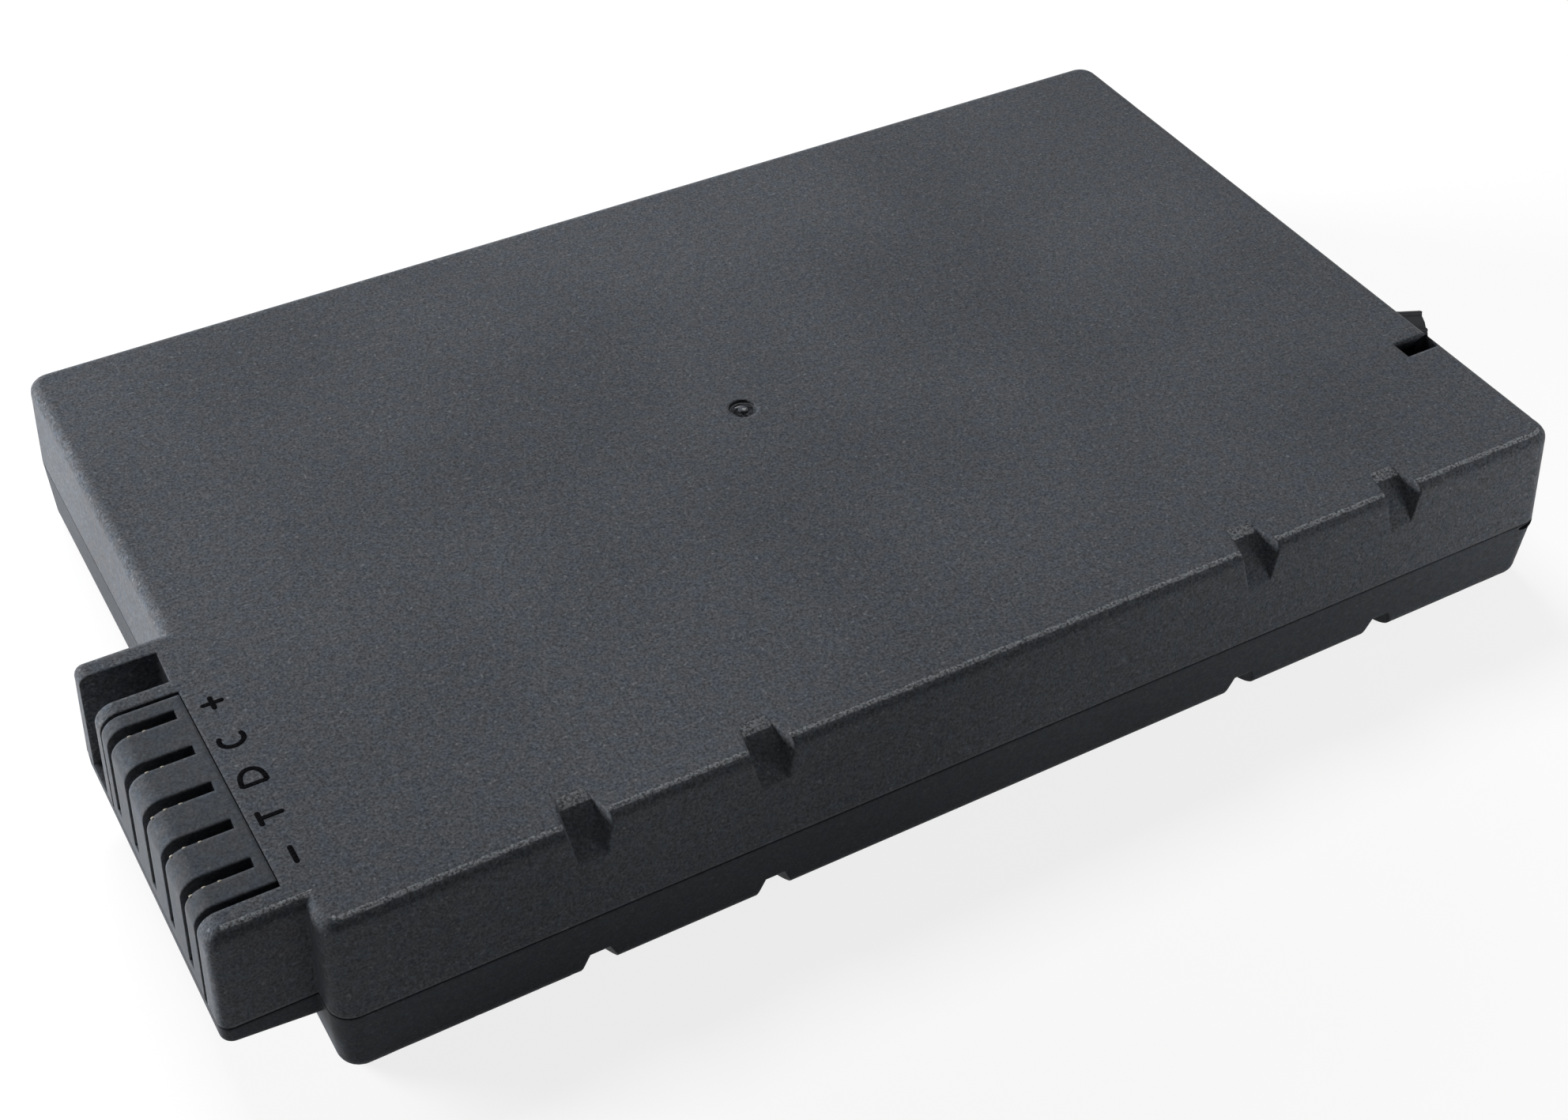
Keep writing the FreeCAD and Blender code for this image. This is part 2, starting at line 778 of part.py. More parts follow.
def board_parts():
    """The parts on the board, by name, placed along it from the near end of the bay."""
    protector_y = row_inner_y + strip_step + protector_size[0] / 2
    gauge_y = protector_y + (protector_size[0] + gauge_size[0]) / 2 + pin_length
    first_switch_y = thermistor_y + thermistor_radius + switch_size[0] / 2 + pin_length
    second_switch_y = first_switch_y + switch_size[0] + pin_length
    end_y = board_far_y - resistor_size[0] / 2 - pin_length
    row_z = part_row_height
    low_z = part_low_row_height
    switches = []
    for y in (first_switch_y, second_switch_y):
        switches.append(on_board(pinned_part(switch_size, switch_pins), y, row_z))
    capacitors = []
    for i in range(capacitor_count):
        capacitors.append(on_board(block_part(capacitor_size), protector_y + i * capacitor_pitch, low_z))
    return {
        "power_switches": Part.makeCompound(switches),
        "gauge_chip": on_board(pinned_part(gauge_size, gauge_pins), gauge_y, row_z),
        "protector_chip": on_board(pinned_part(protector_size, protector_pins), protector_y, row_z),
        "sense_resistor": on_board(block_part(resistor_size), end_y, low_z),
        "board_fuse": on_board(block_part(fuse_size), end_y, row_z + fuse_size[1]),
        "board_capacitors": Part.makeCompound(capacitors),
    }


def thermal_cutoff():
    """A flat cut-off can on a lead that runs from the positive strip to the board."""
    lead_x = positive_tail_x - strip_thickness - strip_clearance
    can_top = positive_tail_y - strip_step
    can_end = can_top - cutoff_length
    foot_y = can_end - cutoff_lead_length
    plan = [
        (lead_x, positive_tail_y + cutoff_overlap),
        (lead_x, foot_y),
        (board_face + strip_clearance, foot_y),
    ]
    low = axis_height - cutoff_lead_width / 2
    lead = bent_strip(plan, strip_bend_radius, strip_thickness, low, low + cutoff_lead_width)
    half = cutoff_thickness / 2
    can_low = axis_height - cutoff_width / 2
    can = box(lead_x - half, lead_x + half, can_end, can_top, can_low, can_low + cutoff_width)
    return can.fuse(lead).removeSplitter()


def thermistor():
    """A bead against the first cell, on two wires to the board."""
    bead_x = row_x[0] - cell_radius - thermistor_clearance - thermistor_radius
    bead = Part.makeSphere(thermistor_radius, Vector(bead_x, thermistor_y, axis_height))
    for side in (-1, 1):
        y = thermistor_y + side * thermistor_lead_pitch / 2
        start = Vector(board_face, y, axis_height)
        bead = bead.fuse(Part.makeCylinder(thermistor_lead_radius, bead_x - board_face, start, X_AXIS))
    return bead.removeSplitter()


def negative_lead():
    """The thick lead from the negative strip's ear to the board, over the cells in line."""
    y = inner_strip_y - strip_thickness / 2 - strip_clearance - lead_radius
    z = strip_top + ear_height - lead_radius
    end_x = row_x[last_group_start] - strip_overrun + ear_width
    return tube([Vector(board_face, y, z), Vector(end_x, y, z)], lead_radius)


def upper_sense_lead():
    """A thin lead from the upper midpoint strip straight to the board."""
    y = inner_strip_y - strip_thickness / 2 - strip_clearance - sense_radius
    z = strip_top - strip_clearance - sense_radius
    end_x = row_x[0] - strip_overrun + ear_width
    return tube([Vector(board_face, y, z), Vector(end_x, y, z)], sense_radius)


def lower_sense_lead():
    """A thin lead from the lower midpoint strip along the far wall and round to the board."""
    far_y = far_strip_y + strip_thickness / 2 + strip_clearance + sense_radius
    turn_x = positive_tail_x - sense_turn
    landing_y = board_far_y - sense_landing
    route = [
        Vector(row_x[bridge_cell] - strip_overrun + ear_width, far_y, axis_height),
        Vector(turn_x, far_y, axis_height),
        Vector(turn_x, landing_y, axis_height),
        Vector(board_face, landing_y, axis_height),
    ]
    return tube(route, sense_radius)


def board_paper():
    """The paper sheet between the board and the end of the first cell in line."""
    start_x = board_face + paper_gap
    half = cell_radius - paper_margin
    return box(
        start_x,
        start_x + paper_thickness,
        line_axis_y - half,
        line_axis_y + half,
        axis_height - half,
        axis_height + half,
    )


def pull_tab():
    """A flat ribbon stub, leaning aside through the end wall and held inside by a sewn stop."""
    droop = (tab_reach - tab_straight) * math.tan(tab_droop)
    profile = [(-tab_root, 0), (tab_straight, 0), (tab_reach, -droop)]
    ribbon = bent_strip(profile, tab_bend_radius, tab_thickness, -tab_width / 2, tab_width / 2)
    ribbon.rotate(Vector(0, 0, 0), X_AXIS, 90)
    ribbon.rotate(Vector(0, 0, 0), Z_AXIS, -math.degrees(tab_skew))
    ribbon.translate(Vector(x_tab, tab_y, tab_z))
    stop_back_x = stop_face_x - stop_thickness
    stop_y = tab_y + (x_tab - stop_face_x + stop_thickness / 2) * math.tan(tab_skew)
    half = tab_half_y + stop_overhang
    low = tab_z - stop_height / 2
    stop = box(stop_back_x, stop_face_x, stop_y - half, stop_y + half, low, low + stop_height)
    spare = stop.translated(Vector(-stop_thickness, 0, 0))
    return ribbon.cut(spare).fuse(stop).removeSplitter()


def build():
    """Every piece of the battery, by node name."""
    pieces = {
        "top_cover": top_cover(),
        "bottom_cover": bottom_cover(),
        "terminal_block": terminal_block(),
        "insulator_rings": insulator_rings(),
        "pack_positive_strip": pack_positive_strip(),
        "upper_midpoint_strip": upper_midpoint_strip(),
        "lower_midpoint_strip": lower_midpoint_strip(),
        "cell_return_strip": cell_return_strip(),
        "pack_negative_strip": pack_negative_strip(),
        "protection_board": protection_board(),
        "thermal_cutoff": thermal_cutoff(),
        "thermistor": thermistor(),
        "negative_lead": negative_lead(),
        "upper_sense_lead": upper_sense_lead(),
        "lower_sense_lead": lower_sense_lead(),
        "board_paper": board_paper(),
        "pull_tab": pull_tab(),
    }
    pieces.update(board_parts())
    for name, y in zip(contact_names, blade_places()):
        pieces["contact_" + name] = contact(y)
    cell = cell_profile().revolve(Vector(0, 0, 0), Z_AXIS, 360)
    for number, place in enumerate(cell_places(), 1):
        pieces["cell_" + str(number)] = placed(cell, *place)
    return pieces


os.makedirs("parts", exist_ok=True)
for node, solid in build().items():
    solid.exportStep("parts/" + node + ".step")
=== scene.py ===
import logging
import math
from abc import ABC, abstractmethod
from dataclasses import dataclass
from enum import Enum

import bmesh
import bpy
import numpy as np
from mathutils import Matrix, Vector


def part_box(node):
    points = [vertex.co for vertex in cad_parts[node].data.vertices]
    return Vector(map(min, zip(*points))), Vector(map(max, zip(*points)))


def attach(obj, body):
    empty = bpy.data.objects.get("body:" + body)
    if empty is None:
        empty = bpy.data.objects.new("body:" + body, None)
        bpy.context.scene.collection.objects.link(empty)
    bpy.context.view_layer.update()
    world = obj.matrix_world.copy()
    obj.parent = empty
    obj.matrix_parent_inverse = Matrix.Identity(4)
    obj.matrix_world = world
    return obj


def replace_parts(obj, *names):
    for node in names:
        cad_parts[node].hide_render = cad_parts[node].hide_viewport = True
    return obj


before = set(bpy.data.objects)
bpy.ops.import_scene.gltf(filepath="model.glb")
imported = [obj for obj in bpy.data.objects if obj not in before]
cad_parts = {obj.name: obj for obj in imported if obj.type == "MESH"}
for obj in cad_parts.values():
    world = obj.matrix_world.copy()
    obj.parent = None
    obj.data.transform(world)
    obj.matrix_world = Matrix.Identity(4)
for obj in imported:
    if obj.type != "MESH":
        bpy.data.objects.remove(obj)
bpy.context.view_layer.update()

log = logging.getLogger("slab_battery")

MM = 0.001
BODY = "root"
WELD = 1e-7
EDGE_SAMPLES = 6
NOISE_BAND = (0.3, 0.7)
EVEN = (1.0, 1.0, 1.0)
GREY = (0.5, 0.5, 0.5)
WHITE = (1.0, 1.0, 1.0)
Colour = tuple[float, float, float]
Triple = tuple[float, float, float]
Span = tuple[float, float]
Socket = bpy.types.NodeSocket


def toned(colour: Colour, factor: float) -> Colour:
    """A colour made lighter or darker by a factor."""
    return tuple(c * factor for c in colour)


class Finished(Enum):
    """The finishes: one for each of the record's material slots, and some that vary a slot."""

    CASE = "case_plastic"
    LOWER_CASE = "case_plastic.lower"
    SIGN = "case_plastic.sign"
    GATE = "case_plastic.gate"
    SCAR = "case_plastic.scar"
    TERMINAL = "terminal_plastic"
    CONTACT = "contact_metal"
    DIMPLE = "contact_metal.worn"
    STRAP = "strap"
    SLEEVE = "cell_sleeve"
    PAPER = "insulating_paper"
    NICKEL = "nickel_strip"
    BOARD = "board_laminate"
    CHIP = "chip_resin"
    RESISTOR = "resistor_ceramic"
    CAPACITOR = "capacitor_ceramic"
    BEAD = "bead_resin"
    BLACK_LEAD = "black_lead"
    WHITE_LEAD = "white_lead"

    @property
    def slot(self) -> str:
        """The record's slot that the finish belongs to."""
        return self.value.split(".")[0]


class Blend(Enum):
    """The ways in which two colours are blended, with Blender's names for them."""

    PLAIN = "MIX"
    SOFT = "SOFT_LIGHT"


class ShaderGraph:
    """A material's node tree, with short calls for the nodes that the finishes share."""

    def __init__(self, name: str) -> None:
        """Starts a material with a Principled shader and Object coordinates.

        Args:
            name: The material's name.
        """
        self.material = bpy.data.materials.new(name)
        self.material.use_nodes = True
        self.tree = self.material.node_tree
        self.shader = self.tree.nodes["Principled BSDF"]
        self.coordinates = self.add("TexCoord")

    def add(self, kind: str, **values: float | tuple) -> bpy.types.Node:
        """A new node with some of its inputs set.

        Args:
            kind: The node's type, without the words that all shader nodes start with.
            values: The values of inputs by their names, with an underscore for each space.

        Returns:
            The node.
        """
        node = self.tree.nodes.new("ShaderNode" + kind)
        for name, value in values.items():
            node.inputs[name.replace("_", " ")].default_value = value
        return node

    def link(self, source: Socket, target: Socket) -> None:
        """Joins an output to an input."""
        self.tree.links.new(source, target)

    def drive(self, socket: str, source: Socket) -> None:
        """Joins an output to one of the shader's named inputs."""
        self.link(source, self.shader.inputs[socket])

    def hold(self, socket: str, value: float | tuple) -> None:
        """Sets one of the shader's named inputs to a constant."""
        self.shader.inputs[socket].default_value = value

    def noise(self, cell: float, detail: float = 2.0, stretch: Triple = EVEN, rough: float = 0.5) -> Socket:
        """A noise whose cells have a given size.

        Args:
            cell: The size of a cell in metres.
            detail: The number of finer octaves.
            stretch: How much longer a cell is along each axis.
            rough: How strong the finer octaves are.

        Returns:
            The noise's factor, from 0 to 1.
        """
        mapping = self.add("Mapping", Scale=tuple(1.0 / s for s in stretch))
        self.link(self.coordinates.outputs["Object"], mapping.inputs["Vector"])
        node = self.add("TexNoise", Scale=1.0 / cell, Detail=detail, Roughness=rough)
        self.link(mapping.outputs["Vector"], node.inputs["Vector"])
        return node.outputs["Fac"]

    def ramp(self, factor: Socket, stops: list[tuple[float, Colour]]) -> Socket:
        """A colour that follows a factor.

        Args:
            factor: What the ramp reads.
            stops: Positions and their colours, in order.

        Returns:
            The ramp's colour.
        """
        node = self.add("ValToRGB")
        while len(node.color_ramp.elements) < len(stops):
            node.color_ramp.elements.new(0.5)
        for element, (position, colour) in zip(node.color_ramp.elements, stops):
            element.position = position
            element.color = (*colour, 1.0)
        self.link(factor, node.inputs["Fac"])
        return node.outputs["Color"]

    def mix(self, factor: float | Socket, a: Socket, b: Socket, how: Blend = Blend.PLAIN) -> Socket:
        """Two colours blended.

        Args:
            factor: The share of b, or an output that gives it.
            a: The first colour.
            b: The second colour.
            how: The way of blending.

        Returns:
            The blended colour.
        """
        node = self.add("Mix")
        node.data_type = "RGBA"
        node.blend_type = how.value
        sockets = {s.identifier: s for s in node.inputs}
        if isinstance(factor, float):
            sockets["Factor_Float"].default_value = factor
        else:
            self.link(factor, sockets["Factor_Float"])
        self.link(a, sockets["A_Color"])
        self.link(b, sockets["B_Color"])
        return next(s for s in node.outputs if s.identifier == "Result_Color")

    def span(self, value: Socket, band: Span, to: Span) -> Socket:
        """A value moved from one range to another, and kept in it.

        Args:
            value: What is moved.
            band: The range that the value comes from.
            to: The range that it goes to.

        Returns:
            The moved value.
        """
        node = self.add("MapRange", From_Min=band[0], From_Max=band[1], To_Min=to[0], To_Max=to[1])
        self.link(value, node.inputs["Value"])
        return node.outputs["Result"]

    def bump(self, height: Socket, strength: float, depth: float, soften: float = 0.0) -> None:
        """Roughens the shader's normal by a height, and rounds the edges' shading.

        Args:
            height: The height, from 0 to 1.
            strength: How strongly it shows.
            depth: The relief in metres.
            soften: The radius in metres over which an edge is shaded as round.
        """
        node = self.add("Bump", Strength=strength, Distance=depth)
        self.link(height, node.inputs["Height"])
        if soften > 0.0:
            edge = self.add("Bevel", Radius=soften)
            edge.samples = EDGE_SAMPLES
            self.link(edge.outputs["Normal"], node.inputs["Normal"])
        self.drive("Normal", node.outputs["Normal"])


class Finish(ABC):
    """A surface finish that can make its own material."""

    @abstractmethod
    def material(self) -> bpy.types.Material:
        """Builds the finish's material."""


@dataclass(frozen=True)
class SparkPlastic(Finish):
    """Moulded plastic with a spark-eroded grain, pale flecks, a painted highlight along the near top edge
    and a cool and warm mottle.
    """

    name: str
    colour: Colour
    cool: Colour = (0.36, 0.47, 0.64)
    warm: Colour = (0.62, 0.50, 0.42)
    tint_share: float = 0.22
    fleck: Colour = (0.20, 0.21, 0.22)
    fleck_share: float = 0.30
    fleck_cell: float = 0.442 * MM
    fleck_band: Span = (0.73, 0.80)
    fleck_tones: Span = (0.6, 1.4)
    edge_highlight: float = 0.0
    edge_highlight_turn: float = math.radians(15.0)
    edge_highlight_band: Span = (0.974, 0.988)
    edge_highlight_tones: Span = (0.25, 1.9)
    edge_highlight_stops: Span = (0.38, 0.62)
    grain: float = 0.26 * MM
    grain_rough: float = 0.65
    grain_stops: Triple = (0.32, 0.50, 0.68)
    mottle: float = 1.3 * MM
    mottle_stops: Triple = (0.34, 0.50, 0.66)
    clump: float = 0.62 * MM
    clump_depth: float = 0.055
    bloom: float = 24.0 * MM
    bloom_depth: float = 0.045
    relief: float = 0.05 * MM
    bump: float = 0.34
    contrast: float = 0.56
    roughness: Span = (0.42, 0.58)
    specular: float = 0.06
    soften: float = 0.5 * MM

    def edge_highlight_share(self, graph: ShaderGraph) -> Socket:
        """How strong the painted highlight is: a paler grain painted where the near top edge starts to turn
        down.

        Args:
            graph: The material's graph.

        Returns:
            A share that grows as the normal nears the one at edge_highlight_turn down from the top.
        """
        across = graph.add("VectorMath")
        across.operation = "DOT_PRODUCT"
        across.inputs[1].default_value = (0.0, -math.sin(self.edge_highlight_turn), math.cos(self.edge_highlight_turn))
        graph.link(graph.coordinates.outputs["Normal"], across.inputs[0])
        return graph.span(across.outputs["Value"], self.edge_highlight_band, (0.0, self.edge_highlight))

    def material(self) -> bpy.types.Material:
        """Builds the grain, the tints, the patches, the flecks, the painted edge highlight and the relief.

        Returns:
            The material.
        """
        graph = ShaderGraph(self.name)
        grain = graph.noise(self.grain, 3.0, rough=self.grain_rough)
        tones = [toned(self.colour, 1.0 + side * self.contrast) for side in (-1.0, 0.0, 1.0)]
        shade = graph.ramp(grain, list(zip(self.grain_stops, tones)))
        mottle = graph.noise(self.mottle, 3.0)
        tint = graph.ramp(mottle, list(zip(self.mottle_stops, (self.cool, GREY, self.warm))))
        shade = graph.mix(self.tint_share, shade, tint, Blend.SOFT)
        for cell, depth in ((self.clump, self.clump_depth), (self.bloom, self.bloom_depth)):
            greys = [toned(GREY, 1.0 + 2.0 * side * depth) for side in (-1.0, 1.0)]
            patches = graph.ramp(graph.noise(cell, 1.0), list(zip(self.mottle_stops[::2], greys)))
            shade = graph.mix(1.0, shade, patches, Blend.SOFT)
        flecks = graph.span(graph.noise(self.fleck_cell, 0.0), self.fleck_band, (0.0, self.fleck_share))
        tones = [toned(self.fleck, t) for t in self.fleck_tones]
        pale = graph.ramp(grain, list(zip(NOISE_BAND, tones)))
        shade = graph.mix(flecks, shade, pale)
        # Painted highlight: a paler grain where the normal nears the early turn of the near top edge.
        if self.edge_highlight > 0.0:
            tones = [toned(self.fleck, t) for t in self.edge_highlight_tones]
            painted_highlight = graph.ramp(grain, list(zip(self.edge_highlight_stops, tones)))
            shade = graph.mix(self.edge_highlight_share(graph), shade, painted_highlight)
        graph.drive("Base Color", shade)
        graph.drive("Roughness", graph.span(grain, NOISE_BAND, self.roughness))
        graph.hold("Specular IOR Level", self.specular)
        graph.bump(grain, self.bump, self.relief, self.soften)
        return graph.material


@dataclass(frozen=True)
class Mottled(Finish):
    """A plain stuff whose colour, gloss and level vary a little from place to place."""

    name: str
    dark: Colour
    light: Colour
    patch: float = 1.2 * MM
    stretch: Triple = EVEN
    stops: Span = (0.35, 0.65)
    roughness: Span = (0.45, 0.6)
    relief: float = 0.01 * MM
    bump: float = 0.4
    metallic: float = 0.0
    specular: float = 0.5

    def material(self) -> bpy.types.Material:
        """Builds the two tones, the gloss and the relief from one noise.

        Returns:
            The material.
        """
        graph = ShaderGraph(self.name)
        patches = graph.noise(self.patch, 4.0, self.stretch)
        graph.drive("Base Color", graph.ramp(patches, list(zip(self.stops, (self.dark, self.light)))))
        graph.drive("Roughness", graph.span(patches, NOISE_BAND, self.roughness))
        graph.hold("Metallic", self.metallic)
        graph.hold("Specular IOR Level", self.specular)
        graph.bump(patches, self.bump, self.relief)
        return graph.material


@dataclass(frozen=True)
class Woven(Finish):
    """A ribbon's weave: ribs along it, picks across it, and a soft sheen."""

    name: str
    thread: Colour
    shine: Colour
    ribs: float = 14.0
    picks: float = 26.0
    waver: float = 0.6
    stops: Span = (0.15, 0.85)
    roughness: float = 0.6
    specular: float = 0.12
    sheen: float = 0.06
    sheen_roughness: float = 0.4
    relief: float = 0.05 * MM
    bump: float = 0.6

    def material(self) -> bpy.types.Material:
        """Builds the ribs and picks from two waves on the ribbon's own UV map.

        Returns:
            The material.
        """
        graph = ShaderGraph(self.name)
        waves = []
        for direction, count in (("X", self.picks), ("Y", self.ribs)):
            wave = graph.add("TexWave", Scale=count / 2.0, Distortion=self.waver)
            wave.bands_direction = direction
            graph.link(graph.coordinates.outputs["UV"], wave.inputs["Vector"])
            waves.append(wave.outputs["Color"])
        weave = graph.mix(0.5, waves[0], waves[1])
        graph.drive("Base Color", graph.ramp(weave, list(zip(self.stops, (self.thread, self.shine)))))
        graph.hold("Roughness", self.roughness)
        graph.hold("Specular IOR Level", self.specular)
        graph.hold("Sheen Weight", self.sheen)
        graph.hold("Sheen Roughness", self.sheen_roughness)
        graph.bump(weave, self.bump, self.relief)
        return graph.material


FINISHES: dict[Finished, Finish] = {
    # The case's near top edge carries the painted highlight.
    Finished.CASE: SparkPlastic("charcoal_case_plastic", (0.064, 0.069, 0.077), edge_highlight=0.6),
    # The lower cover's finer grain is its own; its darker colour is painted shade on the downward faces.
    Finished.LOWER_CASE: SparkPlastic(
        "charcoal_lower_case_plastic_painted_shade",
        (0.043, 0.047, 0.053),
        fleck_share=0.1,
        bump=0.3,
        contrast=0.32,
        specular=0.025,
    ),
    Finished.TERMINAL: SparkPlastic(
        "charcoal_terminal_plastic", (0.052, 0.057, 0.064), fleck_share=0.1, bump=0.3, contrast=0.32
    ),
    # Black for the signs, and painted shade on the pry notch.
    Finished.SIGN: Mottled(
        "blackened_sign_and_painted_shade", (0.003, 0.003, 0.004), (0.008, 0.008, 0.009), 0.2 * MM, specular=0.0
    ),
    # Pale torn plastic for the stub; on the sliver this pale colour is a painted glint.
    Finished.GATE: Mottled(
        "torn_gate_plastic_and_painted_glint",
        (0.10, 0.105, 0.11),
        (0.26, 0.27, 0.28),
        0.22 * MM,
        roughness=(0.25, 0.4),
        relief=0.05 * MM,
        specular=0.3,
    ),
    # Painted shade for the floor of the gate recess.
    Finished.SCAR: Mottled(
        "painted_shade_gate_floor", (0.004, 0.004, 0.005), (0.055, 0.058, 0.064), 0.5 * MM, specular=0.02
    ),
    Finished.CONTACT: Mottled(
        "gold_plated_contact",
        (0.72, 0.56, 0.30),
        (0.92, 0.78, 0.50),
        0.6 * MM,
        roughness=(0.22, 0.38),
        metallic=1.0,
    ),
    # The dimples' pale colour is a painted glint of the contact metal.
    Finished.DIMPLE: Mottled(
        "contact_dimple_painted_glint", (0.18, 0.165, 0.14), (0.33, 0.31, 0.27), 0.12 * MM, specular=0.1
    ),
    Finished.STRAP: Woven("black_woven_ribbon", (0.006, 0.006, 0.008), (0.032, 0.034, 0.038)),
    Finished.SLEEVE: Mottled(
        "shrunk_cell_sleeve", (0.10, 0.24, 0.20), (0.13, 0.30, 0.25), 2.5 * MM, roughness=(0.28, 0.4)
    ),
    Finished.PAPER: Mottled(
        "fibre_paper", (0.30, 0.33, 0.36), (0.40, 0.43, 0.46), 0.5 * MM, roughness=(0.75, 0.9)
    ),
    Finished.NICKEL: Mottled(
        "rolled_nickel",
        (0.56, 0.55, 0.52),
        (0.70, 0.69, 0.66),
        0.4 * MM,
        stretch=(8.0, 1.0, 1.0),
        roughness=(0.28, 0.42),
        metallic=1.0,
    ),
    Finished.BOARD: Mottled(
        "green_laminate", (0.02, 0.13, 0.06), (0.03, 0.19, 0.09), 0.8 * MM, roughness=(0.3, 0.45)
    ),
    Finished.CHIP: Mottled("moulded_chip_resin", (0.018, 0.018, 0.02), (0.035, 0.035, 0.038), 0.25 * MM),
    Finished.RESISTOR: Mottled("glazed_resistor", (0.02, 0.02, 0.022), (0.05, 0.05, 0.054), 0.4 * MM),
    Finished.CAPACITOR: Mottled("fired_capacitor_ceramic", (0.42, 0.27, 0.14), (0.52, 0.35, 0.20), 0.3 * MM),
    Finished.BEAD: Mottled("dipped_bead_resin", (0.30, 0.06, 0.03), (0.42, 0.10, 0.05), 0.5 * MM),
    Finished.BLACK_LEAD: Mottled("black_lead_sleeve", (0.012, 0.012, 0.013), (0.03, 0.03, 0.032), 0.8 * MM),
    Finished.WHITE_LEAD: Mottled("white_lead_sleeve", (0.66, 0.66, 0.63), (0.78, 0.78, 0.75), 0.8 * MM),
}


class Paintbox:
    """Makes each finish's material once and lends it out."""

    def __init__(self) -> None:
        """Starts with no materials made."""
        self.made: dict[Finished, bpy.types.Material] = {}

    def get(self, finish: Finished) -> bpy.types.Material:
        """The material of a finish.

        Args:
            finish: Which finish.

        Returns:
            Its material, which is made on the first call.
        """
        if finish not in self.made:
            self.made[finish] = FINISHES[finish].material()
        return self.made[finish]


def surface_mesh(
    name: str, points: np.ndarray, loop_u: bool = False, loop_v: bool = True
) -> bpy.types.Object:
    """A mesh object over a grid of points, with a UV map that follows the grid.

    Args:
        name: The object's name.
        points: The grid, rows by columns by 3, in metres. Quads run from row to row.
        loop_u: True where the last row joins the first.
        loop_v: True where the last column joins the first.

    Returns:
        The object, linked to the scene, its faces outward where rows times columns is outward.
    """
    rows, columns = points.shape[:2]
    u = np.arange(rows if loop_u else rows - 1)
    v = np.arange(columns if loop_v else columns - 1)
    i, j = np.meshgrid(u, v, indexing="ij")
    next_i, next_j = (i + 1) % rows, (j + 1) % columns
    here, beyond = i * columns, next_i * columns
    quads = np.stack([here + j, beyond + j, beyond + next_j, here + next_j], -1).reshape(-1, 4)
    mesh = bpy.data.meshes.new(name)
    mesh.vertices.add(rows * columns)
    mesh.vertices.foreach_set("co", points.astype(np.float32).ravel())
    mesh.loops.add(quads.size)
    mesh.loops.foreach_set("vertex_index", quads.astype(np.int32).ravel())
    mesh.polygons.add(len(quads))
    mesh.polygons.foreach_set("loop_start", np.arange(0, quads.size, 4, dtype=np.int32))
    mesh.polygons.foreach_set("use_smooth", np.ones(len(quads), dtype=bool))
    along = np.stack([i, i + 1, i + 1, i], -1) / max(1, len(u))
    across = np.stack([j, j, j + 1, j + 1], -1) / max(1, len(v))
    uv = np.stack([along, across], -1).reshape(-1, 2)
    mesh.uv_layers.new(name="UVMap").data.foreach_set("uv", uv.astype(np.float32).ravel())
    mesh.update(calc_edges=True)
    if loop_v:
        close_seams(mesh)
    made = bpy.data.objects.new(name, mesh)
    bpy.context.scene.collection.objects.link(made)
    return made


def close_seams(mesh: bpy.types.Mesh) -> None:
    """Welds the points that a closed surface draws together and turns its faces outward.

    Args:
        mesh: The surface's mesh.
    """
    work = bmesh.new()
    work.from_mesh(mesh)
    bmesh.ops.remove_doubles(work, verts=work.verts, dist=WELD)
    bmesh.ops.dissolve_degenerate(work, edges=work.edges, dist=WELD)
    bmesh.ops.recalc_face_normals(work, faces=work.faces)
    work.to_mesh(mesh)
    work.free()


def bead_surface(
    middle: Triple, radii: Triple, lumps: float, rows: int = 13, columns: int = 20
) -> np.ndarray:
    """An ellipsoid whose girth swells and shrinks around it.

    A point at the angle a from the pole and b around it is the middle plus the radii times
    (sin a cos b, sin a sin b, cos a), with the girth multiplied by one plus lumps times the sum
    of sin(3b + 0.7) and half of sin(5b).

    Args:
        middle: Its centre in metres.
        radii: Its half sizes along the axes.
        lumps: How uneven the girth is.
        rows: Steps from pole to pole.
        columns: Steps around.

    Returns:
        The grid of points.
    """
    a = np.linspace(0.0, np.pi, rows)[:, None]
    b = np.linspace(0.0, 2.0 * np.pi, columns, endpoint=False)[None, :]
    girth = 1.0 + lumps * (np.sin(3.0 * b + 0.7) + 0.5 * np.sin(5.0 * b))
    out = np.sin(a) * girth
    unit = np.stack([out * np.cos(b), out * np.sin(b), np.cos(a) * np.ones_like(b)], -1)
    return np.array(middle) + unit * np.array(radii)


def join_pieces(name: str, pieces: list[bpy.types.Object]) -> bpy.types.Object:
    """Several mesh objects made one.

    Args:
        name: The joined object's name.
        pieces: The objects, which all sit at the origin.

    Returns:
        The joined object.
    """
    bpy.ops.object.select_all(action="DESELECT")
    for piece in pieces:
        piece.select_set(True)
    bpy.context.view_layer.objects.active = pieces[0]
    if len(pieces) > 1:
        bpy.ops.object.join()
    pieces[0].name = name
    return pieces[0]


